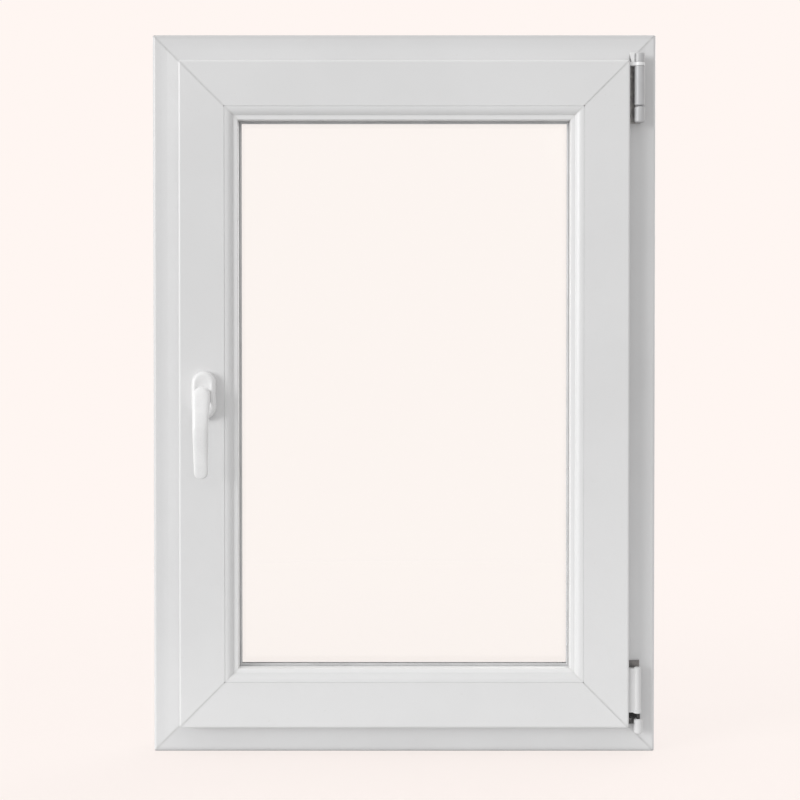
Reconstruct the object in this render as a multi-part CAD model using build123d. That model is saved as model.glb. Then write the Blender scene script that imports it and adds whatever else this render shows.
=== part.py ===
from build123d import *
import math
import os

# Single-sash tilt-and-turn window in white PVC, closed, drawn from the room side.
# X runs along the sill, Y from the room (minus) to the outside (plus), Z upwards.
# The origin is the middle of the frame's underside.
# Sections are drawn as (across, depth): across is measured inwards from the frame's outer edge.

# Overall size
window_width = 700.0
window_height = 1000.0

# Fixed frame section
frame_depth = 70.0          # crown on the room side to the outside face
frame_height = 67.0         # outer edge to the tip of the outside upstand
upstand_height = 20.0       # rebate floor to the tip of the upstand
upstand_thickness = 17.0
upstand_slope = 5.0         # the upstand's tip falls by this much towards the outside
frame_strip = 13.0          # strip along the outer edge, room side, curving up into the slope
frame_fall = 5.0            # the strip lies this much behind the crown
frame_crown = 7.0           # flat land beside the rebate that the sash seal closes on
channel_depth = 3.0         # two anchor channels run along the outer edge
channel_width = 12.0
channel_offset = 16.0       # channel centre from the middle of the depth
edge_round = 1.5            # plain edges of the extrusions
outer_bevel = 2.0           # edges of the frame and the sash, outside
outer_round = 4.5           # the frame's outer edge, room side
profile_wall = 3.0          # outer walls of the hollow extrusions
profile_web = 2.0           # webs between their chambers
steel_chamber = 22.0        # depth of the frame's middle chamber

# Sash section
sash_cover = 8.0            # how far the sash laps over the frame
stop_cover = 8.0            # how far the upstand laps over the sash, outside
sash_proud = 20.0           # sash face in front of the frame crown
sash_flange = 16.0          # thickness of the lapping flange
sash_face = 63.0            # flat width of the sash, flange edge to bead
sash_edge_round = 3.0
glazing_lip = 14.5          # height of the outside lip that holds the glass
lip_thickness = 15.0
lip_slope = 4.0
hardware_groove = 16.0      # stepped groove for the locking gear, on the sash's edge
groove_step = 2.0
groove_depth = 11.0
groove_lip = 3.0
groove_setback = 9.0        # groove behind the flange

# Sealing gaps
stop_gap = 3.0              # upstand to sash, outside
glass_gap = 3.0             # glass to bead, and glass to lip
seal_reach = 3.2            # how far the glazing seals show past the bead
seal_round = 0.4            # edges of the seals' lips
seal_lean = 1.0             # how far the seals' flanks lean

# Glass unit
pane_thickness = 4.0
pane_space = 16.0
glass_clearance = 5.0       # glass edge to the rebate floor
spacer_setback = 4.0
spacer_height = 6.5

# Glazing bead
bead_height = 18.5
bead_recess = 0.4           # bead shoulder behind the sash face
bead_shoulder = 7.0         # shoulder, rounding over into the slope
bead_slope = 5.0
bead_drop = 5.5             # fall of the slope
bead_round = 12.0
bead_nose_fall = 0.6
clip_width = 5.0            # groove in the rebate floor that takes the bead's foot
clip_depth = 5.0
clip_setback = 8.0
clip_fit = 0.2

# Welded corners
weld_width = 2.4            # scraped groove along each mitre
weld_depth = 0.6

# Handle
handle_offset = 4.0         # axis from the middle of the sash's face, towards the glass
rosette_width = 33.0
rosette_height = 66.0
rosette_skirt = 7.5         # upright part of its edge, then two drafts up to the face
rosette_shoulder = 3.5
rosette_shoulder_draft = 25.0
rosette_crown = 2.0
rosette_crown_draft = 60.0
dish_inset = 4.5            # rim round the rosette's dished face
dish_depth = 2.5
dish_draft = 40.0           # degrees, walls of the dish
neck_radius = 9.0
neck_fit = 0.3              # running clearance of the neck in the rosette
neck_seat = 6.0             # depth of the neck's seat below the dish
grip_head_radius = 12.0
grip_tip_radius = 9.5
grip_length = 113.0         # axis to tip
grip_bend = 44.0            # axis to the bend in the grip
grip_head_gap = 25.0        # sash face to the back of the grip: head, bend and tip
grip_bend_gap = 37.0
grip_tip_gap = 33.0
grip_head_depth = 11.0      # thickness of the grip: head, bend and tip
grip_bend_depth = 13.0
grip_tip_depth = 6.5
grip_bend_radius = 45.0
grip_front_edge = 3.0       # bevels round the front and the back of the grip
grip_back_edge = 2.0

# Hinges, on the right seen from the room
hinge_gap = 14.0            # pivot axis from the edge of the sash
hinge_height = 11.0         # pivot axis in front of the frame crown
knuckle_radius = 7.2
pin_radius = 2.4
pin_fit = 0.1
plate_margin = 1.5          # steel plate short of the sash
plate_thickness = 2.0
web_thickness = 6.0         # foot of the bearing on its plate
tongue_thickness = 8.0      # leaf from the barrel to the sash
hinge_bevel = 1.6
knuckle_gap = 1.0
top_hinge_rise = 11.0       # top of the hinge above the sash's top edge
top_barrel_length = 73.0
top_foot_length = 22.0
stay_drop = 18.0            # underside of the stay's eye below the top of the hinge
stay_eye = 5.0              # height of the eye, in a slot of the barrel
stay_fit = 0.4              # clearance of the stay from the barrel
stay_arm = 2.0              # width of the slanting arm at its foot
stay_margin = 0.5           # arm's upper end short of the sash
bottom_hinge_drop = 9.0     # foot of the hinge below the sash's bottom edge
bearing_length = 20.0
bearing_radius = 6.2
pivot_gap = 8.0             # open gap over the bearing, where the pin shows
cover_length = 64.0
cover_radius = 5.2
cover_shift = 1.5           # cover's middle from the pivot, towards the sash
cover_rim = 0.8             # thicker rim round the foot of the cover
cover_rim_height = 5.0
plate_reach = 7.0           # the bottom plate shows above the cover

# Drain caps, outside
drain_spacing = 400.0
drain_rise = 20.0
drain_slot_length = 26.0
drain_slot_height = 5.0
drain_slot_depth = 4.0
cap_length = 38.0
cap_height = 13.0
cap_thickness = 5.0
cap_wall = 1.5
cap_bevel = 1.4

# Places worked out from the sizes above
crown_y = -frame_depth / 2
strip_y = crown_y + frame_fall
outside_y = frame_depth / 2
stop_y = outside_y - upstand_thickness
frame_rebate = frame_height - upstand_height
sash_edge = frame_rebate - sash_cover
sash_base = frame_height - stop_cover
bead_seat = sash_edge + sash_face
lip_tip = bead_seat + glazing_lip
sash_y = crown_y - sash_proud
flange_y = sash_y + sash_flange
sash_outside_y = stop_y - stop_gap
lip_y = sash_outside_y - lip_thickness
glass_outside_y = lip_y - glass_gap
glass_room_y = glass_outside_y - 2 * pane_thickness - pane_space
bead_back_y = glass_room_y - glass_gap
glass_edge = bead_seat + glass_clearance
clip_y = sash_y + clip_setback
groove_y = flange_y + groove_setback
bead_tip = bead_seat + bead_height
mitre_reach = bead_tip + 2 * seal_reach
mid_height = window_height / 2
handle_x = -window_width / 2 + sash_edge + sash_face / 2 + handle_offset
hinge_inset = sash_edge - hinge_gap
hinge_x = window_width / 2 - hinge_inset
hinge_y = crown_y - hinge_height
plate_near = hinge_inset - web_thickness / 2
plate_far = sash_edge - plate_margin
frame_rise = frame_fall / (frame_rebate - frame_crown - frame_strip)
face_round = 0.95 * (frame_strip - outer_round) / math.tan(math.atan(frame_rise) / 2)
rosette_thickness = rosette_skirt + rosette_shoulder + rosette_crown
neck_floor = rosette_thickness - dish_depth - neck_seat

section_plane = Plane(origin=(0, 0, 0), x_dir=(0, 0, 1), z_dir=(-1, 0, 0))
room_face = Plane(origin=(0, 0, 0), x_dir=(1, 0, 0), z_dir=(0, -1, 0))
turns = {"bottom": 0, "left": 90, "top": 180, "right": -90}


def outline(*corners):
    """Closed section from (across, depth, corner radius)."""
    points = [(across, depth) for across, depth, _ in corners]
    radii = [radius for _, _, radius in corners]
    return make_face(FilletPolyline(*points, radius=radii, close=True).edges())


def run_of(side):
    return window_width if side in ("bottom", "top") else window_height


def place(bar, side):
    """Turn a bar drawn along the bottom edge to its own side of the window."""
    reach = window_height / 2 if side in ("bottom", "top") else window_width / 2
    return Pos(0, 0, mid_height) * Rot(0, turns[side], 0) * Pos(0, 0, -reach) * bar


def mitre_wedge(run, setback=0.0):
    """Block that leaves a bar its 45 degree ends, or ends that stop short of the mitre."""
    near = run / 2 - setback
    far = near - mitre_reach
    ends = Polyline((-near, 0), (near, 0), (far, mitre_reach), (-far, mitre_reach), close=True)
    return extrude(Plane.XZ * make_face(ends), 2 * frame_depth, both=True)


def mitred(section, side):
    """Extrusion along one side with mitred ends, still lying along the bottom edge."""
    run = run_of(side)
    return extrude(section_plane * section, run / 2, both=True) & mitre_wedge(run)


def welded(section, chambers, side):
    """Hollow bar whose skin stops short of the mitre, as a scraped weld leaves it."""
    run = run_of(side)
    core = mitred(offset(section, -weld_depth, kind=Kind.INTERSECTION), side)
    skin = extrude(section_plane * section, run / 2, both=True) & mitre_wedge(run, weld_width / 2)
    bar = skin + core
    for chamber in chambers:
        bar -= extrude(section_plane * chamber, run / 2, both=True)
    return bar


def loop(section):
    """One closed ring of a section round all four sides."""
    ring = Part()
    for side in turns:
        ring += place(mitred(section, side), side)
    return ring


def bevelled_tip(tip, slope, thickness, face_y):
    """Two corners that take the edge off a lip whose tip falls towards the outside."""
    return (
        (tip - slope * (1 - outer_bevel / thickness), face_y - outer_bevel, 0),
        (tip - slope - outer_bevel, face_y, 0),
    )


def frame_section():
    channels = []
    for centre in (channel_offset, -channel_offset):
        for depth, across in ((0.5, 0), (0.5, 1), (-0.5, 1), (-0.5, 0)):
            channels.append((across * channel_depth, centre + depth * channel_width, 0))
    return outline(
        (0, strip_y, outer_round),
        (frame_strip, strip_y, face_round),
        (frame_rebate - frame_crown, crown_y, 0),
        (frame_rebate, crown_y, 0),
        (frame_rebate, stop_y, 0),
        (frame_height, stop_y, 0),
        *bevelled_tip(frame_height, upstand_slope, upstand_thickness, outside_y),
        (outer_bevel, outside_y, 0),
        (0, outside_y - outer_bevel, 0),
        *channels,
    )


def frame_chambers():
    """Room-side, steel and outside chambers of the frame."""
    low = channel_depth + profile_wall
    high = frame_rebate - profile_wall
    steel_near = -steel_chamber / 2
    steel_far = steel_chamber / 2
    room = outline(
        (low, strip_y + profile_wall, 0),
        (frame_strip, strip_y + profile_wall, 0),
        (frame_rebate - frame_crown, crown_y + profile_wall, 0),
        (high, crown_y + profile_wall, 0),
        (high, steel_near - profile_web, 0),
        (low, steel_near - profile_web, 0),
    )
    steel = outline((low, steel_near, 0), (high, steel_near, 0), (high, steel_far, 0), (low, steel_far, 0))
    outside = outline(
        (low, steel_far + profile_web, 0),
        (high, steel_far + profile_web, 0),
        (high, stop_y + profile_wall, 0),
        (frame_height - upstand_slope - profile_wall, stop_y + profile_wall, 0),
        (frame_height - upstand_slope - profile_wall, outside_y - profile_wall, 0),
        (low, outside_y - profile_wall, 0),
    )
    return room, steel, outside


def sash_section():
    return outline(
        (sash_edge, sash_y, sash_edge_round),
        (bead_seat, sash_y, 0),
        (bead_seat, clip_y, 0),
        (bead_seat - clip_depth, clip_y, 0),
        (bead_seat - clip_depth, clip_y + clip_width, 0),
        (bead_seat, clip_y + clip_width, 0),
        (bead_seat, lip_y, 0),
        (lip_tip, lip_y, 0),
        *bevelled_tip(lip_tip, lip_slope, lip_thickness, sash_outside_y),
        (sash_base, sash_outside_y, 0),
        (sash_base, groove_y + hardware_groove, 0),
        (sash_base + groove_lip, groove_y + hardware_groove, 0),
        (sash_base + groove_lip, groove_y + hardware_groove - groove_step, 0),
        (sash_base + groove_depth, groove_y + hardware_groove - groove_step, 0),
        (sash_base + groove_depth, groove_y + groove_step, 0),
        (sash_base + groove_lip, groove_y + groove_step, 0),
        (sash_base + groove_lip, groove_y, 0),
        (sash_base, groove_y, 0),
        (sash_base, flange_y, 0),
        (sash_edge, flange_y, 0),
    )


def sash_chambers():
    """Flange, steel and outside chambers of the sash."""
    high = bead_seat - profile_wall
    flange_far = flange_y - profile_wall
    steel_far = groove_y + hardware_groove
    flange = outline(
        (sash_edge + profile_wall, sash_y + profile_wall, 0),
        (high - clip_depth, sash_y + profile_wall, 0),
        (high - clip_depth, flange_far, 0),
        (sash_edge + profile_wall, flange_far, 0),
    )
    steel_low = sash_base + groove_depth + profile_wall
    steel = outline(
        (steel_low, flange_far + profile_web, 0),
        (high, flange_far + profile_web, 0),
        (high, steel_far, 0),
        (steel_low, steel_far, 0),
    )
    outside_low = sash_base + profile_wall
    outside_near = steel_far + profile_wall
    outside = outline(
        (outside_low, outside_near, 0),
        (high, outside_near, 0),
        (high, sash_outside_y - profile_wall, 0),
        (outside_low, sash_outside_y - profile_wall, 0),
    )
    return flange, steel, outside


def bead_section():
    shoulder_y = sash_y + bead_recess
    slope_foot_y = shoulder_y + bead_drop
    slope_foot = bead_seat + bead_shoulder + bead_slope
    foot_near = clip_y + clip_fit
    foot_far = clip_y + clip_width - clip_fit
    foot_tip = bead_seat - clip_depth + clip_fit
    return outline(
        (bead_seat, shoulder_y, edge_round / 3),
        (bead_seat + bead_shoulder, shoulder_y, bead_round),
        (slope_foot, slope_foot_y, edge_round),
        (bead_tip, slope_foot_y + bead_nose_fall, edge_round),
        (bead_tip, bead_back_y, edge_round / 3),
        (bead_seat, bead_back_y, 0),
        (bead_seat, foot_far, 0),
        (foot_tip, foot_far, 0),
        (foot_tip, foot_near, 0),
        (bead_seat, foot_near, 0),
    )


def glazing_seal_section(seat_y, glass_y, carrier_tip):
    """Lip seal between the glass and the bead or lip that carries it."""
    away = glass_gap * (1 if seat_y > glass_y else -1) / 3
    return outline(
        (glass_edge + spacer_setback, seat_y, 0),
        (carrier_tip + edge_round / 3, seat_y, 0),
        (carrier_tip + seal_reach / 3, seat_y + away, seal_round),
        (carrier_tip + seal_reach, glass_y + away, seal_round),
        (carrier_tip + seal_reach, glass_y, 0),
        (glass_edge + spacer_setback, glass_y, 0),
    )


def stop_seal_section():
    """Seal on the frame's upstand, closing on the outside of the sash."""
    return outline(
        (sash_base + edge_round, stop_y, 0),
        (frame_height - edge_round, stop_y, 0),
        (frame_height + edge_round, stop_y - stop_gap / 3, seal_round),
        (frame_height + edge_round / 2, sash_outside_y, 0),
        (sash_base + edge_round, sash_outside_y, 0),
    )


def lap_seal_section():
    """Seal under the sash flange, closing on the frame's crown."""
    near = frame_rebate - frame_crown + edge_round
    far = frame_rebate - edge_round
    return outline(
        (near - seal_lean, flange_y, 0),
        (far, flange_y, 0),
        (far - seal_lean, crown_y, 0),
        (near, crown_y, 0),
    )


def frame_bars():
    names = {
        "bottom": "frame_sill",
        "left": "frame_jamb_left",
        "top": "frame_head",
        "right": "frame_jamb_right",
    }
    bars = {}
    for side, name in names.items():
        bar = welded(frame_section(), frame_chambers(), side)
        if side == "bottom":
            for drain_x in (-drain_spacing / 2, drain_spacing / 2):
                slot = Box(drain_slot_length, 2 * drain_slot_depth, drain_slot_height)
                bar -= Pos(drain_x, outside_y, drain_rise) * slot
        bars[name] = place(bar, side)
    return bars


def sash_bars():
    names = {
        "bottom": "sash_bottom_rail",
        "left": "sash_lock_stile",
        "top": "sash_top_rail",
        "right": "sash_hinge_stile",
    }
    bars = {}
    for side, name in names.items():
        bars[name] = place(welded(sash_section(), sash_chambers(), side), side)
    return bars


def glazing_beads():
    return {f"glazing_bead_{side}": place(mitred(bead_section(), side), side) for side in turns}


def seals():
    return {
        "glazing_seal_room": loop(glazing_seal_section(bead_back_y, glass_room_y, bead_tip)),
        "glazing_seal_outside": loop(glazing_seal_section(lip_y, glass_outside_y, lip_tip)),
        "frame_stop_seal": loop(stop_seal_section()),
        "sash_lap_seal": loop(lap_seal_section()),
    }


def glass_unit():
    width = window_width - 2 * glass_edge
    height = window_height - 2 * glass_edge
    pane = Box(width, pane_thickness, height)
    inner_y = glass_room_y + pane_thickness / 2
    outer_y = glass_outside_y - pane_thickness / 2
    spacer_near = glass_edge + spacer_setback
    spacer = outline(
        (spacer_near, glass_room_y + pane_thickness, 0),
        (spacer_near + spacer_height, glass_room_y + pane_thickness, 0),
        (spacer_near + spacer_height, glass_outside_y - pane_thickness, 0),
        (spacer_near, glass_outside_y - pane_thickness, 0),
    )
    return {
        "glass_pane_room": Pos(0, inner_y, mid_height) * pane,
        "glass_pane_outside": Pos(0, outer_y, mid_height) * pane,
        "glass_spacer": loop(spacer),
    }


def handle_rosette():
    """Domed base plate; its face dips inside a rim towards the neck, whose seat is bored into it."""
    shoulder_inset = rosette_shoulder * math.tan(math.radians(rosette_shoulder_draft))
    stages = (
        (0, rosette_skirt, 0, 0),
        (rosette_skirt, rosette_shoulder, 0, rosette_shoulder_draft),
        (rosette_skirt + rosette_shoulder, rosette_crown, shoulder_inset, rosette_crown_draft),
    )
    base = Part()
    for start, height, inset, draft in stages:
        slot = SlotOverall(rosette_height - 2 * inset, rosette_width - 2 * inset, rotation=90)
        base += extrude(room_face.offset(start) * slot, height, taper=draft)
    inwards = Plane(origin=(0, -rosette_thickness, 0), x_dir=(1, 0, 0), z_dir=(0, 1, 0))
    rim = SlotOverall(rosette_height - 2 * dish_inset, rosette_width - 2 * dish_inset, rotation=90)
    dish = extrude(inwards * rim, dish_depth, taper=dish_draft)
    rim_top = rosette_height / 2 - dish_inset
    neck_edge = neck_radius + neck_fit
    dip = Polyline(
        (-rosette_thickness, rim_top),
        (dish_depth - rosette_thickness, neck_edge),
        (dish_depth - rosette_thickness, -neck_edge),
        (-rosette_thickness, -rim_top),
        close=True,
    )
    base -= dish & extrude(Plane.YZ * make_face(dip), rosette_width / 2, both=True)
    seat = extrude(room_face.offset(neck_floor) * Circle(neck_radius + neck_fit), rosette_thickness)
    return Pos(handle_x, sash_y, mid_height) * (base - seat)


def handle_lever():
    """Round neck and a bent, tapering grip: its side and front outlines intersected, edges eased."""
    stations = (
        (grip_head_radius, grip_head_gap, grip_head_depth, 0),
        (-grip_bend, grip_bend_gap, grip_bend_depth, grip_bend_radius),
        (-grip_length, grip_tip_gap, grip_tip_depth, 0),
    )
    back = [(gap, height, radius) for height, gap, depth, radius in stations]
    front = [(gap + depth, height, radius) for height, gap, depth, radius in stations]
    side = Plane(origin=(0, 0, 0), x_dir=(0, -1, 0), z_dir=(-1, 0, 0))
    side_bar = extrude(side * outline(*back, *reversed(front)), 2 * grip_head_radius, both=True)
    tip_circle = Pos(0, grip_tip_radius - grip_length) * Circle(grip_tip_radius)
    front_face = make_hull((Circle(grip_head_radius) + tip_circle).edges())
    grip = side_bar & extrude(room_face * front_face, 2 * grip_bend_gap)

    def depth_share(edge):
        """0 on the back of the grip, 1 on its front."""
        height = edge.center().Z
        upper, lower = stations[:2] if height > -grip_bend else stations[1:]
        share = (height - lower[0]) / (upper[0] - lower[0])
        gap = lower[1] + share * (upper[1] - lower[1])
        depth = lower[2] + share * (upper[2] - lower[2])
        return (-edge.center().Y - gap) / depth

    grip = chamfer(grip.edges().filter_by(lambda edge: depth_share(edge) > 0.75), grip_front_edge)
    grip = chamfer(grip.edges().filter_by(lambda edge: depth_share(edge) < 0.25), grip_back_edge)
    neck_end = grip_head_gap + grip_head_depth / 2
    neck_start = neck_floor + neck_fit
    neck = extrude(room_face.offset(neck_start) * Circle(neck_radius), neck_end - neck_start)
    return Pos(handle_x, sash_y, mid_height) * (grip + neck)


def knuckle(low, length, radius):
    """Upright barrel on the hinge axis."""
    barrel = Pos(hinge_x, hinge_y, low + length / 2) * Cylinder(radius, length)
    return chamfer(barrel.edges().filter_by(GeomType.CIRCLE), hinge_bevel)


def frame_face_y(across):
    """Depth of the frame's sloping face."""
    return strip_y - frame_rise * (across - frame_strip)


def upright(section, low, length):
    """A section drawn across the right jamb, carried upwards."""
    across_jamb = Plane(origin=(window_width / 2, 0, low), x_dir=(-1, 0, 0), z_dir=(0, 0, -1))
    return extrude(across_jamb * section, -length)


def hinge_plate(low, length):
    """Steel plate bedded on the frame's sloping face."""
    return upright(
        outline(
            (plate_near, frame_face_y(plate_near), 0),
            (plate_far, frame_face_y(plate_far), 0),
            (plate_far, frame_face_y(plate_far) - plate_thickness, 0),
            (plate_near, frame_face_y(plate_near) - plate_thickness, 0),
        ),
        low,
        length,
    )


def bearing_foot(low, length, seat):
    """Web between a barrel and the frame's face, or a plate of that thickness on it."""
    near = hinge_inset - web_thickness / 2
    far = hinge_inset + web_thickness / 2
    foot = outline(
        (near, frame_face_y(near) - seat, 0),
        (far, frame_face_y(far) - seat, 0),
        (far, hinge_y, 0),
        (near, hinge_y, 0),
    )
    return upright(foot, low, length)


def bearing(low, length, radius):
    """Frame-side barrel with a foot on its plate."""
    return bearing_foot(low + hinge_bevel, length - 2 * hinge_bevel, plate_thickness) + knuckle(low, length, radius)


def cover_leaf(low, length):
    """Sash-side cover with a thicker rim at its foot and a tongue that beds on the edge of the sash."""
    middle_x = hinge_x - cover_shift
    reach = sash_edge - hinge_inset - cover_shift
    barrel = Cylinder(cover_radius, length)
    barrel = chamfer(barrel.edges().filter_by(GeomType.CIRCLE), hinge_bevel)
    rim = Cylinder(cover_radius + cover_rim, cover_rim_height)
    rim = chamfer(rim.edges().filter_by(GeomType.CIRCLE), cover_rim)
    tongue = Box(reach, tongue_thickness, length - 2 * hinge_bevel)
    cover = barrel + Pos(0, 0, (cover_rim_height - length) / 2) * rim + Pos(-reach / 2, 0, 0) * tongue
    return Pos(middle_x, hinge_y, low + length / 2) * cover


def stay_lever(eye_low, high):
    """Eye round the pin, an arm slanting up beside the barrel, and a foot on the edge of the sash."""
    eye_high = eye_low + stay_eye
    beside = hinge_inset + knuckle_radius + stay_fit
    arm_top = sash_edge - stay_margin
    arm = Polyline(
        (hinge_inset + knuckle_radius / 2, eye_low),
        (beside + stay_arm, eye_low),
        (arm_top, high),
        (beside, high),
        (beside, eye_high),
        (hinge_inset + knuckle_radius / 2, eye_high),
        close=True,
    )
    front = Plane(origin=(window_width / 2, hinge_y, 0), x_dir=(-1, 0, 0), z_dir=(0, 1, 0))
    stay = extrude(front * make_face(arm), tongue_thickness / 2, both=True)
    stay += Pos(hinge_x, hinge_y, eye_low + stay_eye / 2) * Cylinder(knuckle_radius, stay_eye)
    foot_reach = sash_edge - beside
    foot = Box(foot_reach, tongue_thickness, stay_eye)
    foot_x = hinge_x - knuckle_radius - stay_fit - foot_reach / 2
    return stay + Pos(foot_x, hinge_y, eye_low + stay_eye / 2) * foot


def hinge_pin(low, high):
    """The pin and the bore that it runs in."""
    middle = Pos(hinge_x, hinge_y, (low + high) / 2)
    return middle * Cylinder(pin_radius, high - low), middle * Cylinder(pin_radius + pin_fit, high - low)


def top_hinge():
    hinge_top = window_height - sash_edge + top_hinge_rise
    eye_low = hinge_top - stay_drop
    barrel_low = hinge_top - top_barrel_length
    foot_low = barrel_low - knuckle_gap - top_foot_length
    slot = Cylinder(knuckle_radius + stay_fit, stay_eye + 2 * stay_fit)
    barrel = bearing(barrel_low, top_barrel_length, knuckle_radius)
    barrel -= Pos(hinge_x, hinge_y, eye_low + stay_eye / 2) * slot
    return {
        "top_hinge_stay": stay_lever(eye_low, hinge_top),
        "top_hinge_barrel": barrel,
        "top_hinge_plate": hinge_plate(foot_low, hinge_top - foot_low),
        "top_hinge_foot": bearing(foot_low, top_foot_length, knuckle_radius),
    }


def bottom_hinge():
    """The plate starts above the frame's inner corner; below it the bearing stands on the frame itself."""
    hinge_foot = sash_edge - bottom_hinge_drop
    cover_low = hinge_foot + bearing_length + pivot_gap
    plate_low = sash_edge + plate_margin
    foot_low = hinge_foot + hinge_bevel
    pin, bore = hinge_pin(hinge_foot + bearing_length / 2, cover_low + cover_length / 2)
    block = bearing(hinge_foot, bearing_length, bearing_radius)
    block += bearing_foot(foot_low, plate_low - foot_low, 0)
    return {
        "bottom_hinge_cover": cover_leaf(cover_low, cover_length) - bore,
        "bottom_hinge_plate": hinge_plate(plate_low, cover_low + cover_length + plate_reach - plate_low),
        "bottom_hinge_bearing": block - bore,
        "bottom_hinge_pin": pin,
    }


def drain_caps():
    """Hoods over the drain slots, open underneath."""
    hood = Box(cap_length, cap_thickness, cap_height)
    outer = hood.edges().filter_by(lambda edge: edge.center().Y > -cap_thickness / 4)
    hood = chamfer(outer, cap_bevel)
    hollow = Box(cap_length - 2 * cap_wall, cap_thickness - cap_wall, cap_height - cap_wall)
    hood -= Pos(0, -cap_wall / 2, -cap_wall / 2) * hollow
    caps = {}
    for name, drain_x in (("drain_cap_left", -drain_spacing / 2), ("drain_cap_right", drain_spacing / 2)):
        caps[name] = Pos(drain_x, outside_y + cap_thickness / 2, drain_rise) * hood
    return caps


parts = {}
parts.update(frame_bars())
parts.update(sash_bars())
parts.update(glazing_beads())
parts.update(seals())
parts.update(glass_unit())
parts["handle_rosette"] = handle_rosette()
parts["handle_lever"] = handle_lever()
parts.update(top_hinge())
parts.update(bottom_hinge())
parts.update(drain_caps())

os.makedirs("parts", exist_ok=True)
for name, solid in parts.items():
    export_step(solid, f"parts/{name}.step")
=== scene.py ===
import math

import bmesh
import bpy
import numpy as np
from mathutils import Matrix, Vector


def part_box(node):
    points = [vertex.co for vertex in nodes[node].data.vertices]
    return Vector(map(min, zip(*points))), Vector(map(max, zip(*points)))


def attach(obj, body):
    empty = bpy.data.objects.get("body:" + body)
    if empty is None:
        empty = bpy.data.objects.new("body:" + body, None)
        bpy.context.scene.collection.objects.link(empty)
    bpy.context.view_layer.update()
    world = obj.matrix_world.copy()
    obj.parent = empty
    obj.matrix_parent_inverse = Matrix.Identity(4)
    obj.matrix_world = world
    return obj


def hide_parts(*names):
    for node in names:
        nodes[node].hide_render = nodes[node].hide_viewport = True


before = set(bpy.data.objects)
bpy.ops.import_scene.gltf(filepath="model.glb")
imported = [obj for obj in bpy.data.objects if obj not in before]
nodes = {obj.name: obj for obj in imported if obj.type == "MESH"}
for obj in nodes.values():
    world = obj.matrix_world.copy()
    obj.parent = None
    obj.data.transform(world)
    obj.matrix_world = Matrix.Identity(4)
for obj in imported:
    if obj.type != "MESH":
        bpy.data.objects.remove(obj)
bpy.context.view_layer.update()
print("frame loaded,", len(nodes), "nodes")

# camera: level with the upper half of the window, a touch of downward tilt
camera = {
    "place": (0.0, -2.229, 0.590),
    "tiltDown": 0.9,         # degrees
    "lens": 71.0,
    "sensor": 36.0,
    "shift": (-0.0052, -0.0568),
}

# window sizes in metres that the looks depend on, as the solids have them
window = {
    "width": 0.700,
    "height": 1.000,
    "sashFace": -0.055,
    "handleAxis": (-0.2755, 0.500),
    "hinge": (0.325, -0.046),
}


class Sock:
    # one value, colour or vector socket; operators add Math nodes
    def __init__(self, mat, out):
        self.mat = mat
        self.out = out

    def math(self, operation, *others):
        return self.mat.node("ShaderNodeMath", {"operation": operation}, [self, *others])

    def __add__(self, other):
        return self.math("ADD", other)

    def __radd__(self, other):
        return self.math("ADD", other)

    def __sub__(self, other):
        return self.math("SUBTRACT", other)

    def __rsub__(self, other):
        return self.mat.node("ShaderNodeMath", {"operation": "SUBTRACT"}, [other, self])

    def __mul__(self, other):
        return self.math("MULTIPLY", other)

    def __rmul__(self, other):
        return self.math("MULTIPLY", other)

    def __pow__(self, other):
        return self.math("POWER", other)

    def __abs__(self):
        return self.math("ABSOLUTE")


class Finish:
    # one material, or the world: node() adds any node, the rest are short names for common ones
    def __init__(self, name, owner=None):
        self.material = owner or bpy.data.materials.new(name)
        self.material.use_nodes = True
        self.tree = self.material.node_tree
        self.tree.nodes.clear()

    def node(self, kind, settings=None, inputs=None, output=0):
        made = self.tree.nodes.new(kind)
        for key, value in (settings or {}).items():
            setattr(made, key, value)
        pairs = inputs.items() if isinstance(inputs, dict) else enumerate(inputs or [])
        for key, value in pairs:
            if isinstance(value, Sock):
                self.tree.links.new(value.out, made.inputs[key])
            else:
                made.inputs[key].default_value = value
        return Sock(self, made.outputs[output]) if made.outputs else None

    def place(self):
        return self.node("ShaderNodeTexCoord", output=3)

    def axes(self):
        split = self.node("ShaderNodeSeparateXYZ", {}, [self.place()]).out.node
        return [Sock(self, out) for out in split.outputs]

    def stretched(self, scale, turn=(0, 0, 0)):
        return self.node("ShaderNodeMapping", {}, {
            "Vector": self.place(), "Scale": scale, "Rotation": turn})

    def noise(self, vector, scale, detail=2.0, rough=0.5):
        return self.node("ShaderNodeTexNoise", {}, {
            "Vector": vector, "Scale": scale, "Detail": detail, "Roughness": rough})

    def band(self, value, low, high, toLow=0.0, toHigh=1.0):
        return self.node("ShaderNodeMapRange", {"interpolation_type": "SMOOTHSTEP"}, {
            "Value": value, "From Min": low, "From Max": high, "To Min": toLow, "To Max": toHigh})

    def blend(self, factor, first, second):
        # the Mix node's colour sockets are inputs 6 and 7 and output 2
        first, second = [value if isinstance(value, Sock) else (*value, 1.0) for value in (first, second)]
        return self.node("ShaderNodeMix", {"data_type": "RGBA"}, {0: factor, 6: first, 7: second}, output=2)

    def bump(self, height, strength, distance=0.0002):
        return self.node("ShaderNodeBump", {}, {
            "Strength": strength, "Distance": distance, "Height": height})

    def surface(self, inputs):
        return self.node("ShaderNodeBsdfPrincipled", {}, inputs)

    def done(self, shader):
        self.node("ShaderNodeOutputMaterial", {}, [shader])
        return self.material


def edgeDistance(mat):
    # how far a point is from the sides and from the top or bottom of the window
    x, z = mat.axes()[::2]
    return window["width"] / 2 - abs(x), window["height"] / 2 - abs(z - window["height"] / 2)


def seamMask(mat, width):
    # a mitre is where both distances are the same
    acrossX, acrossZ = edgeDistance(mat)
    away = abs(acrossX - acrossZ) * math.sqrt(0.5)
    return mat.band(away, 0.2 * width, width, 1.0, 0.0)


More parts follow.
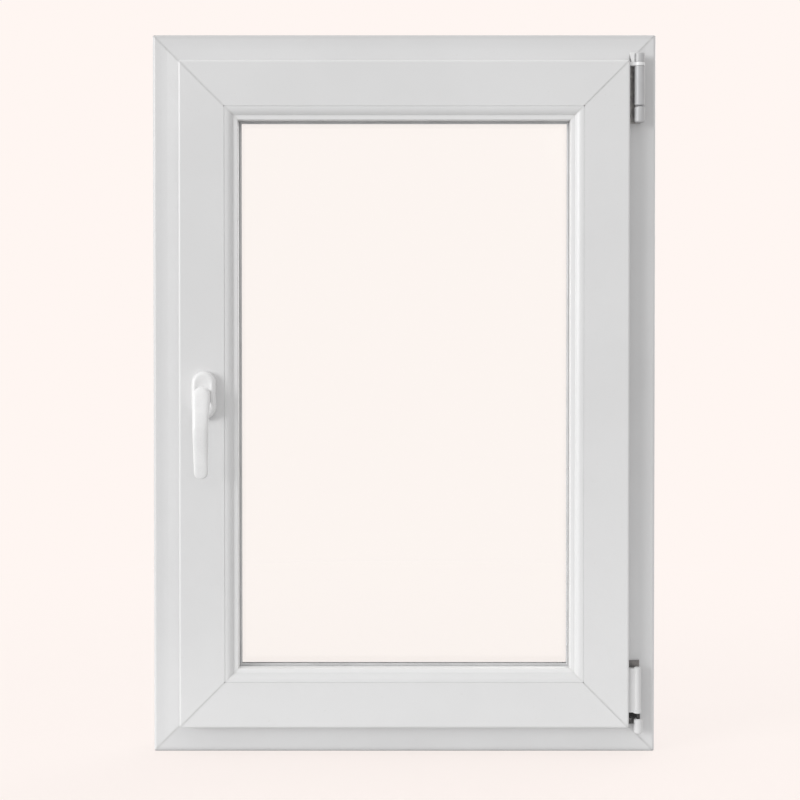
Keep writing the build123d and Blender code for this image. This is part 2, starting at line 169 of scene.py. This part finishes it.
extrusion = {
    "sash": (0.735, 0.736, 0.738),
    # painted shade: the frame's white is a shade darker than the same white of the sash
    "frame": (0.690, 0.691, 0.694),
    "cast": 0.965,                      # slow drift of the white along a bar
    "noseHighlight": (0.79, 0.79, 0.79),         # painted highlight along the inner edge of the glazing beads
    "noseHighlightReach": (0.1140, 0.1165),      # from the window's outer edge
    "rim": (0.44, 0.44, 0.44),          # painted shade along the outer edge of the head and the sill
    "rimShadeReach": (0.001, 0.008),
    "rimShadeShare": 0.45,
    "seam": (0.52, 0.52, 0.51),
    "seamWidth": 0.0026,
    "seamShare": 0.22,
    "drawn": (1.5, 420),                # scale of the drawn lines, along a bar and across it
    "cloudScale": 5.0,
    "grainScale": 900.0,
    "speckScale": 260.0,
    "speck": (0.50, 0.48, 0.44),
    "speckShare": 0.10,
    "roughness": (0.30, 0.39),
    "relief": 0.10,
}


def pvcFinish(name, along, white, bead=False, rim=False):
    # drawn lines run with the bar, because the scale along it is small
    mat = Finish(name)
    slow, fast = extrusion["drawn"]
    pull = (slow, fast, fast) if along == "x" else (fast, fast, slow)
    lines = mat.noise(mat.stretched(pull), 1.0, 3.0, 0.6)
    cloud = mat.noise(mat.place(), extrusion["cloudScale"], 3.0, 0.55)
    grain = mat.noise(mat.place(), extrusion["grainScale"], 1.0)
    specks = mat.band(mat.noise(mat.place(), extrusion["speckScale"], 1.0), 0.72, 0.80)
    drift = [extrusion["cast"] * value for value in white]
    colour = mat.blend(mat.band(cloud, 0.35, 0.7), white, drift)
    acrossX, acrossZ = edgeDistance(mat)
    # painted highlight: the beads' inner edge is painted whiter than the rest of the bead
    if bead:
        nearest = acrossX.math("MINIMUM", acrossZ)
        colour = mat.blend(mat.band(nearest, *extrusion["noseHighlightReach"]), colour, extrusion["noseHighlight"])
    # painted shade: the head and the sill are painted darker towards their outer top and bottom edges
    if rim:
        rimShadeMask = mat.band(acrossZ, *extrusion["rimShadeReach"], extrusion["rimShadeShare"], 0.0)
        colour = mat.blend(rimShadeMask, colour, extrusion["rim"])
    colour = mat.blend(specks * extrusion["speckShare"], colour, extrusion["speck"])
    seam = seamMask(mat, extrusion["seamWidth"])
    colour = mat.blend(seam * extrusion["seamShare"], colour, extrusion["seam"])
    return mat.done(mat.surface({
        "Base Color": colour,
        "Roughness": mat.band(lines, 0.3, 0.7, *extrusion["roughness"]),
        "IOR": 1.5,
        "Normal": mat.bump(lines * 0.5 + grain * 0.2, extrusion["relief"]),
    }))


rubber = {
    "tones": ((0.50, 0.503, 0.507), (0.56, 0.563, 0.567)),
    "dust": (0.40, 0.40, 0.39),
    "dustShare": 0.25,
    "cloudScale": 30.0,
    "dustScale": 400.0,
    "poreScale": 1500.0,
    "roughness": (0.55, 0.70),
    "relief": 0.15,
}


def sealFinish():
    # two greys in slow clouds, dust in small ones, fine pores
    mat = Finish("sealRubber")
    cloud = mat.noise(mat.place(), rubber["cloudScale"], 2.0)
    dust = mat.band(mat.noise(mat.place(), rubber["dustScale"], 2.0), 0.55, 0.75)
    pores = mat.noise(mat.place(), rubber["poreScale"], 1.0)
    colour = mat.blend(mat.band(cloud, 0.3, 0.7), *rubber["tones"])
    colour = mat.blend(dust * rubber["dustShare"], colour, rubber["dust"])
    return mat.done(mat.surface({
        "Base Color": colour,
        "Roughness": mat.band(cloud, 0.3, 0.7, *rubber["roughness"]),
        "Normal": mat.bump(pores, rubber["relief"]),
    }))


glass = {
    "clear": (0.996, 0.999, 0.998, 1.0),
    "mirror": (0.93, 0.95, 0.945, 1.0),
    "straightShare": 0.03,               # mirror share seen square on, and what a flat glance adds
    "glanceShare": 0.9,
    "smearShare": 0.004,
    "smearPull": (6, 6, 40),
    "smearTurn": (0, 0.5, 0),
    "roughness": (0.01, 0.05),
}


def paneFinish():
    # thin clear sheet: see-through with a mirror share that grows at a glance
    mat = Finish("clearPane")
    smear = mat.noise(mat.stretched(glass["smearPull"], glass["smearTurn"]), 1.0, 4.0, 0.6)
    mirror = mat.surface({
        "Base Color": glass["mirror"],
        "Roughness": mat.band(smear, 0.4, 0.75, *glass["roughness"]),
        "IOR": 1.5,
        "Metallic": 1.0,
    })
    clear = mat.node("ShaderNodeBsdfTransparent", {}, [glass["clear"]])
    glance = mat.node("ShaderNodeLayerWeight", {}, [0.5], output=1)
    share = glass["straightShare"] + glass["glanceShare"] * glance ** 5
    share = share + mat.band(smear, 0.5, 0.8) * glass["smearShare"]
    return mat.done(mat.node("ShaderNodeMixShader", {}, [share, clear, mirror]))


spacerBar = {
    "tone": (0.60, 0.61, 0.62),
    # painted shade: the near-black inside the perforation holes
    "hole": (0.08, 0.08, 0.08),
    "holeScale": 380.0,
    "brushed": (900, 900, 900),
    "middle": -0.015,                    # depth of the line of holes
    "halfWidth": (0.002, 0.003),
}


def spacerFinish():
    # mill aluminium with a perforated strip along its middle, whose holes are painted near-black as painted
    # shade
    mat = Finish("spacerBar")
    depth = mat.axes()[1]
    dots = mat.node("ShaderNodeTexVoronoi", {}, {
        "Vector": mat.place(), "Scale": spacerBar["holeScale"], "Randomness": 0.15})
    strip = mat.band(abs(depth - spacerBar["middle"]), *spacerBar["halfWidth"], 1.0, 0.0)
    holes = mat.band(dots, 0.18, 0.30, 1.0, 0.0) * strip
    brushed = mat.noise(mat.stretched(spacerBar["brushed"]), 1.0, 2.0)
    colour = mat.blend(holes * 0.8, spacerBar["tone"], spacerBar["hole"])
    return mat.done(mat.surface({
        "Base Color": colour,
        "Metallic": 0.9,
        "Roughness": mat.band(brushed, 0.3, 0.7, 0.32, 0.45),
        "Normal": mat.bump(holes * -1.0 + brushed * 0.1, 0.3, 0.0004),
    }))


coated = {
    "handle": ((0.83, 0.83, 0.83), 0.30),            # colour and roughness
    "stay": ((0.80, 0.80, 0.80), 0.34),
    "hinge": ((0.50, 0.502, 0.508), 0.34),           # satin lacquer, greyer than the extrusions
    "cover": ((0.65, 0.65, 0.652), 0.36),
    "cap": ((0.70, 0.70, 0.70), 0.42),
    "cast": 0.96,
    "cloudScale": 45.0,
    "grime": (0.45, 0.43, 0.39),
    "grimeShare": 0.08,
    "grimeScale": 110.0,
    "peelScale": 700.0,
    "relief": 0.10,
}


def coatFinish(name, colour, roughness):
    # powder coat: orange peel, a faint drift of the white, a little handling grime
    mat = Finish(name)
    cloud = mat.noise(mat.place(), coated["cloudScale"], 2.0)
    grime = mat.band(mat.noise(mat.place(), coated["grimeScale"], 4.0, 0.65), 0.58, 0.80)
    peel = mat.noise(mat.place(), coated["peelScale"], 1.0)
    drift = [coated["cast"] * value for value in colour]
    tint = mat.blend(mat.band(cloud, 0.35, 0.65), colour, drift)
    tint = mat.blend(grime * coated["grimeShare"], tint, coated["grime"])
    return mat.done(mat.surface({
        "Base Color": tint,
        "Roughness": mat.band(peel, 0.3, 0.7, roughness - 0.03, roughness + 0.06),
        "IOR": 1.5,
        "Normal": mat.bump(peel, coated["relief"]),
    }))


plated = {
    "zinc": ((0.42, 0.425, 0.43), (0.52, 0.52, 0.515)),
    # painted shade: near-black steel for the bottom hinge's plate and pin, which sit in shade
    "gapShade": ((0.17, 0.172, 0.175), (0.23, 0.23, 0.228)),
    "cloudScale": 160.0,
    "drawn": (1800, 1800, 60),
    "roughness": (0.42, 0.58),
    "relief": 0.12,
}
# painted shade: a near-black band at the height of the bottom hinge's pivot gap
pivotShade = {"height": 0.0545, "reach": (0.004, 0.009), "colour": (0.02, 0.02, 0.02), "share": 0.9}


def steelFinish(name, dark, light):
    # zinc plate, painted near-black round the open pivot as painted shade in its gap
    mat = Finish(name)
    height = mat.axes()[2]
    pivotShadeMask = mat.band(abs(height - pivotShade["height"]), *pivotShade["reach"], 1.0, 0.0)
    cloud = mat.noise(mat.place(), plated["cloudScale"], 3.0)
    drawn = mat.noise(mat.stretched(plated["drawn"]), 1.0, 2.0)
    colour = mat.blend(mat.band(cloud, 0.35, 0.65), dark, light)
    # painted shade: the steel is painted near-black round the pivot's gap
    colour = mat.blend(pivotShadeMask * pivotShade["share"], colour, pivotShade["colour"])
    return mat.done(mat.surface({
        "Base Color": colour,
        "Metallic": mat.band(pivotShadeMask, 0.0, 1.0, 0.85, 0.3),
        "Roughness": mat.band(drawn, 0.3, 0.7, *plated["roughness"]),
        "Normal": mat.bump(drawn, plated["relief"]),
    }))


finishes = {
    "frameX": pvcFinish("frameWhiteLying", "x", extrusion["frame"], rim=True),
    "frameZ": pvcFinish("frameWhiteStanding", "z", extrusion["frame"]),
    "sashX": pvcFinish("sashWhiteLying", "x", extrusion["sash"]),
    "sashZ": pvcFinish("sashWhiteStanding", "z", extrusion["sash"]),
    "beadX": pvcFinish("beadWhiteLying", "x", extrusion["sash"], bead=True),
    "beadZ": pvcFinish("beadWhiteStanding", "z", extrusion["sash"], bead=True),
    "seal": sealFinish(),
    "pane": paneFinish(),
    "spacer": spacerFinish(),
    "handle": coatFinish("handleCoat", *coated["handle"]),
    "stay": coatFinish("stayCoat", *coated["stay"]),
    "hinge": coatFinish("hingeCoat", *coated["hinge"]),
    "cover": coatFinish("coverCoat", *coated["cover"]),
    "cap": coatFinish("capPlastic", *coated["cap"]),
    "steel": steelFinish("zincSteel", *plated["zinc"]),
    "dimSteel": steelFinish("gapShadeSteel", *plated["gapShade"]),
}
wears = {
    "frameX": ("frame_sill", "frame_head"),
    "frameZ": ("frame_jamb_left", "frame_jamb_right"),
    "sashX": ("sash_bottom_rail", "sash_top_rail"),
    "sashZ": ("sash_lock_stile", "sash_hinge_stile"),
    "beadX": ("glazing_bead_bottom", "glazing_bead_top"),
    "beadZ": ("glazing_bead_left", "glazing_bead_right"),
    "seal": ("glazing_seal_room", "glazing_seal_outside", "frame_stop_seal", "sash_lap_seal"),
    "pane": ("glass_pane_room", "glass_pane_outside"),
    "spacer": ("glass_spacer",),
    "handle": ("handle_rosette", "handle_lever"),
    "stay": ("top_hinge_stay",),
    "hinge": ("top_hinge_barrel", "top_hinge_foot"),
    "cover": ("bottom_hinge_cover", "bottom_hinge_bearing"),
    "steel": ("top_hinge_plate",),
    "dimSteel": ("bottom_hinge_plate", "bottom_hinge_pin"),
    "cap": ("drain_cap_left", "drain_cap_right"),
}
for finish, names in wears.items():
    for name in names:
        nodes[name].data.materials.clear()
        nodes[name].data.materials.append(finishes[finish])
print("finishes on", sum(len(names) for names in wears.values()), "nodes")


def gridPiece(name, points, finish, body, ring=False, sharp=40):
    # points is rows by columns; the columns always wrap round, the rows only on a ring,
    # and rows that shrink to a point or fold flat are merged shut
    rows, columns = points.shape[:2]
    index = np.arange(rows * columns).reshape(rows, columns)
    across = np.roll(index, -1, axis=1)
    quads = np.stack([index, across, np.roll(across, -1, axis=0), np.roll(index, -1, axis=0)], axis=-1)
    quads = quads if ring else quads[:-1]
    mesh = bpy.data.meshes.new(name)
    mesh.from_pydata(points.reshape(-1, 3).tolist(), [], quads.reshape(-1, 4).tolist())
    shell = bmesh.new()
    shell.from_mesh(mesh)
    bmesh.ops.remove_doubles(shell, verts=shell.verts, dist=1e-6)
    bmesh.ops.recalc_face_normals(shell, faces=shell.faces)
    shell.to_mesh(mesh)
    shell.free()
    mesh.polygons.foreach_set("use_smooth", np.ones(len(mesh.polygons), dtype=bool))
    mesh.set_sharp_from_angle(angle=math.radians(sharp))
    mesh.materials.append(finishes[finish])
    piece = bpy.data.objects.new(name, mesh)
    bpy.context.scene.collection.objects.link(piece)
    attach(piece, body)
    return piece


def fromSash(x, gap, z):
    # a point given by its gap to the sash's face and its place about the handle's axis
    axisX, axisZ = window["handleAxis"]
    return np.stack(np.broadcast_arrays(axisX + x, window["sashFace"] - gap, axisZ + z), axis=-1)


def bentLine(height, line, soft):
    # two straight runs joined by a hyperbola: the mean slope times the distance from the bend,
    # plus half the change of slope times the softened size of that distance
    (top, topValue), (bend, bendValue), (tip, tipValue) = line
    upper = (topValue - bendValue) / (top - bend)
    lower = (bendValue - tipValue) / (bend - tip)
    away = height - bend
    return bendValue + (upper + lower) / 2 * away + (upper - lower) / 2 * np.sqrt(away ** 2 + soft ** 2)


lever = {
    "headRadius": 0.012,
    "tipRadius": 0.0095,
    "length": 0.113,
    "back": ((0.012, 0.025), (-0.044, 0.037), (-0.113, 0.033)),     # height, gap to the sash
    "front": ((0.012, 0.036), (-0.044, 0.050), (-0.113, 0.0395)),
    "soft": 0.008,
    "square": 3.0,                       # 2 is an ellipse, more is boxier
    "rows": (20, 70),                    # round each end, and between them
    "columns": 96,
}


def leverGrip():
    # rows run from the head over the grip to the tip, where they fan round the two end circles;
    # a section is a superellipse between the back line and the front line at its own height
    ends, straight = lever["rows"]
    tipHeight = lever["tipRadius"] - lever["length"]
    fan = np.concatenate([np.linspace(90, 0, ends), np.zeros(straight), np.linspace(0, -90, ends)])
    middle = np.concatenate([np.zeros(ends), np.linspace(0, tipHeight, straight), np.full(ends, tipHeight)])
    width = np.interp(-middle, [0, -tipHeight], [lever["headRadius"], lever["tipRadius"]])
    fan, middle, width = np.radians(fan)[:, None], middle[:, None], width[:, None]
    turn = np.linspace(0, 2 * np.pi, lever["columns"], endpoint=False) + np.pi / lever["columns"]
    side = np.sign(np.cos(turn)) * np.abs(np.cos(turn)) ** (2 / lever["square"])
    depth = np.sign(np.sin(turn)) * np.abs(np.sin(turn)) ** (2 / lever["square"])
    height = middle + width * np.abs(side) * np.sin(fan)
    back = bentLine(height, lever["back"], lever["soft"])
    front = bentLine(height, lever["front"], lever["soft"])
    gap = (back + front) / 2 + (front - back) / 2 * depth
    return fromSash(width * side * np.cos(fan), gap, height)


def turned(profile, columns=72):
    # a profile of (radius, gap) carried round the handle's axis
    radius, gap = np.array(profile).T[:, :, None]
    turn = np.linspace(0, 2 * np.pi, columns, endpoint=False)
    return fromSash(radius * np.cos(turn), gap, radius * np.sin(turn))


neck = {
    "radius": 0.009,
    "start": 0.0052,
    "flareFrom": 0.0225,
    "flareTo": (0.0103, 0.0290),         # radius and gap inside the head of the grip
    "flareRows": 9,
    "groove": (0.0142, 0.0006, 0.0004),  # gap, half width and depth of a turned line
    "bevel": 0.0004,
}


def leverNeck():
    # straight, with one turned groove, then a quarter circle's flare into the grip
    radius, start, bevel = neck["radius"], neck["start"], neck["bevel"]
    middle, half, deep = neck["groove"]
    endRadius, endGap = neck["flareTo"]
    bow = np.linspace(0, np.pi / 2, neck["flareRows"])
    flareRadius = radius + (endRadius - radius) * (1 - np.cos(bow))
    flareGap = neck["flareFrom"] + (endGap - neck["flareFrom"]) * np.sin(bow)
    return turned([
        (0, start), (radius - bevel, start), (radius, start + bevel),
        (radius, middle - half), (radius - deep, middle - half / 3),
        (radius - deep, middle + half / 3), (radius, middle + half),
        *zip(flareRadius, flareGap), (0, endGap),
    ])


rosette = {
    "radius": 0.0165,
    "reach": 0.0165,                     # axis to the middle of each round end
    "skirt": 0.0066,
    "shoulder": (0.0051, 0.0063),        # inset and rise of the rounded edge
    "hole": 0.0094,
    "dip": 0.0024,
    "side": 42,                          # degrees of the hole's ring that the straight sides take
    "edgeRows": 12,
    "faceRows": 16,
    "columns": 144,
}


def rosetteSkin():
    # each row is a slot outline that shrinks by its inset, up the skirt and over a quarter ellipse;
    # then the slot turns into the neck's circle while its height falls along a cosine
    turn = np.linspace(0, 360, rosette["columns"], endpoint=False)
    side = rosette["side"]
    breaks = [0, side, 180 - side, 180 + side, 360 - side, 360]
    arc = np.radians(np.interp(turn, breaks, [0, 0, 180, 180, 360, 360]))
    shift = rosette["reach"] * np.interp(turn, breaks, [0, 1, 1, -1, -1, 0])
    edgeRows, faceRows = rosette["edgeRows"], rosette["faceRows"]
    skirt, hole = rosette["skirt"], rosette["hole"]
    deepest, highest = rosette["shoulder"]
    bow = np.linspace(0, np.pi / 2, edgeRows)[1:]
    inwards = np.linspace(0, 1, faceRows + 1)[1:]
    dip = rosette["dip"] * (1 - np.cos(np.pi * inwards)) / 2
    inset = np.concatenate([[0, 0], deepest * (1 - np.cos(bow)), np.full(faceRows, deepest)])
    rise = np.concatenate([[0, skirt], skirt + highest * np.sin(bow), skirt + highest - dip])
    share = np.concatenate([np.zeros(edgeRows + 1), inwards])
    inset, share, rise = inset[:, None], share[:, None], rise[:, None]
    slotRadius = rosette["radius"] - inset
    ring = np.radians(turn)
    x = (1 - share) * slotRadius * np.cos(arc) + share * hole * np.cos(ring)
    z = (1 - share) * (shift + slotRadius * np.sin(arc)) + share * hole * np.sin(ring)
    face = fromSash(x, rise, z)
    bore = fromSash(x[-1:], np.zeros((1, 1)), z[-1:])
    return np.concatenate([face, bore])


bush = {"radii": (0.0094, 0.0107), "gaps": (0.0100, 0.0113), "bevel": 0.0004}


def neckBush():
    # a closed section of five corners carried round the axis, with its outer top edge taken off
    (inner, outer), (low, high), bevel = bush["radii"], bush["gaps"], bush["bevel"]
    return turned([(inner, low), (outer, low), (outer, high - bevel), (outer - bevel, high), (inner, high)])


grip = gridPiece("handleGrip", leverGrip(), "handle", "handle")
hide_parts("handle_lever")
gridPiece("handleNeck", leverNeck(), "handle", "handle", sharp=30)
base = gridPiece("handleRosette", rosetteSkin(), "handle", "window", ring=True, sharp=60)
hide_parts("handle_rosette")
gridPiece("neckBush", neckBush(), "handle", "window", ring=True, sharp=50)
print("handle skins made")

fastener = {
    "columns": 72,
    "plate": {"radius": 0.0025, "rise": 0.0011, "socket": 0.0013},
    "cap": {"radius": 0.0044, "rise": 0.0005, "socket": 0.0022},
    "plateAcross": 0.0343,               # screw middles from the frame's outer edge
    "topScrews": (0.8865, 0.9125, 0.9385),
    "bottomScrews": (0.0490,),
}


def socketHead(centre, axis, size):
    # rings about an axis: a low domed rim, then a six-sided socket, whose radius is the corner's
    # times cos 30 over the cosine of the angle from the nearest flat;
    # a row is the ring's radius, its height along the axis, and 1 where it is six-sided
    turn = np.linspace(0, 2 * np.pi, fastener["columns"], endpoint=False)
    fromFlat = (turn + np.pi / 6) % (np.pi / 3) - np.pi / 6
    hexagon = math.cos(math.pi / 6) / np.cos(fromFlat)
    radius, rise, socket = size["radius"], size["rise"], size["socket"]
    rows = np.array([
        (0, -0.3 * rise, 0), (radius, -0.3 * rise, 0), (radius, 0.35 * rise, 0),
        (0.95 * radius, 0.7 * rise, 0), (0.84 * radius, 0.92 * rise, 0), (0.70 * radius, rise, 0),
        (1.06 * socket, rise, 1), (socket, 0.85 * rise, 1), (socket, -0.1 * rise, 1), (0, -0.25 * rise, 1),
    ])
    distance = rows[:, :1] * (1 + rows[:, 2:] * (hexagon - 1))
    axis = np.array(axis, dtype=float) / np.linalg.norm(axis)
    first = np.cross(axis, (0, 0, 1) if abs(axis[2]) < 0.9 else (1, 0, 0))
    first /= np.linalg.norm(first)
    second = np.cross(axis, first)
    around = np.cos(turn)[:, None] * first + np.sin(turn)[:, None] * second
    return np.array(centre) + rows[:, 1, None, None] * axis + distance[:, :, None] * around


hingeX, hingeY = window["hinge"]
plateFace = {"slope": 0.1852, "start": (0.013, -0.030), "thickness": 0.002}    # the frame under the plates
startAcross, startY = plateFace["start"]
screwFall = plateFace["slope"] * (fastener["plateAcross"] - startAcross)
screwY = startY - screwFall - plateFace["thickness"]
screwX = window["width"] / 2 - fastener["plateAcross"]
for name in ("topScrews", "bottomScrews"):
    for count, height in enumerate(fastener[name], 1):
        head = socketHead((screwX, screwY, height), (plateFace["slope"], -1, 0), fastener["plate"])
        gridPiece(f"{name[:-1]}{count}", head, "steel", "window")
ends = {
    "barrelPlug": ("top_hinge_barrel", 1, "hinge", "white_hinge"),
    "footScrew": ("top_hinge_foot", 0, "steel", "hinge_steel"),
    "bearingScrew": ("bottom_hinge_bearing", 0, "steel", "hinge_steel"),
}
for name, (node, end, finish, slot) in ends.items():
    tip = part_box(node)[end][2]
    head = socketHead((hingeX, hingeY, tip), (0, 0, 2 * end - 1), fastener["cap"])
    gridPiece(name, head, finish, "window")
print("hinge screws made")

# floor and world show the same pale tone to the camera, mirrors and glass
backdrop = {
    "tone": (1.0, 0.922, 0.887),
    "ambient": 0.765,
    "bounce": (0.45, 0.45, 0.45),       # what the floor throws back at the window
    "bounceNear": (0.86, 0.86, 0.86),   # and what it throws back close to its foot
    "bounceReach": (0.15, 0.55),
    "shadowShare": 0.25,
    "litShare": 0.97,                   # keeps the lit floor at the backdrop's tone
    "grainShare": 0.97,
    "shadowReach": (0.5, 1.8),          # metres from the window over which the shadow fades
    "floorHalf": 30.0,
}


def paleRays(mat):
    rays = mat.node("ShaderNodeLightPath").out.node.outputs
    sees = [Sock(mat, rays[name]) for name in ("Is Camera Ray", "Is Glossy Ray", "Is Transmission Ray")]
    return sees[0].math("MAXIMUM", sees[1]).math("MAXIMUM", sees[2])


def floorFinish():
    # lit floor in the shadow's reach, the plain backdrop tone beyond it
    mat = Finish("paleFloor")
    pale = paleRays(mat)
    grain = mat.noise(mat.place(), 4.0, 2.0)
    lit = [backdrop["litShare"] * value for value in backdrop["tone"]]
    tint = mat.blend(grain, lit, [backdrop["grainShare"] * value for value in lit])
    x, y = mat.axes()[:2]
    near = mat.band((x * x + y * y) ** 0.5, *backdrop["shadowReach"], 1.0, 0.0)
    foot = mat.band(abs(y), *backdrop["bounceReach"], 1.0, 0.0)
    thrown = mat.blend(foot, backdrop["bounce"], backdrop["bounceNear"])
    matt = mat.node("ShaderNodeBsdfDiffuse", {}, {"Color": mat.blend(pale, thrown, tint)})
    glow = mat.node("ShaderNodeEmission", {}, [(*backdrop["tone"], 1.0), 1.0])
    glowShare = pale * (1 - near * backdrop["shadowShare"])
    return mat.done(mat.node("ShaderNodeMixShader", {}, [glowShare, matt, glow]))


half = backdrop["floorHalf"]
floorMesh = bpy.data.meshes.new("floor")
corners = [(-half, -half, 0), (half, -half, 0), (half, half, 0), (-half, half, 0)]
floorMesh.from_pydata(corners, [], [(0, 1, 2, 3)])
floor = bpy.data.objects.new("floor", floorMesh)
floor.data.materials.append(floorFinish())
bpy.context.scene.collection.objects.link(floor)

sky = Finish("studio", bpy.data.worlds.new("studio"))
bpy.context.scene.world = sky.material
ambient = sky.node("ShaderNodeBackground", {}, [(1.0, 1.0, 1.0, 1.0), backdrop["ambient"]])
shown = sky.node("ShaderNodeBackground", {}, [(*backdrop["tone"], 1.0), 1.0])
mixed = sky.node("ShaderNodeMixShader", {}, [paleRays(sky), ambient, shown])
sky.node("ShaderNodeOutputWorld", {}, [mixed])

# key from the left of the room, a broad one overhead, a weak one behind for the other side
lamps = {
    "key": {"from": (-0.77, -0.54, 0.14), "strength": 1.78, "angle": 30},
    "overhead": {"from": (0.0, -0.35, 0.94), "strength": 0.22, "angle": 100},
    "back": {"from": (0.5, 0.9, 0.28), "strength": 1.0, "angle": 50},
}
for name, values in lamps.items():
    data = bpy.data.lights.new(name, "SUN")
    data.energy = values["strength"]
    data.angle = math.radians(values["angle"])
    lamp = bpy.data.objects.new(name, data)
    x, y, z = values["from"]
    lamp.rotation_euler = (math.atan2(math.hypot(x, y), z), 0, math.atan2(x, -y))
    lamp.location = (2 * x, 2 * y, 2 * z)
    bpy.context.scene.collection.objects.link(lamp)

lensData = bpy.data.cameras.new("roomCamera")
lensData.lens = camera["lens"]
lensData.sensor_width = camera["sensor"]
lensData.shift_x, lensData.shift_y = camera["shift"]
eye = bpy.data.objects.new("roomCamera", lensData)
eye.location = camera["place"]
eye.rotation_euler = (math.radians(90 - camera["tiltDown"]), 0, 0)
bpy.context.scene.collection.objects.link(eye)
bpy.context.scene.camera = eye
bpy.context.scene.view_settings.view_transform = "Standard"
print("camera and light set")
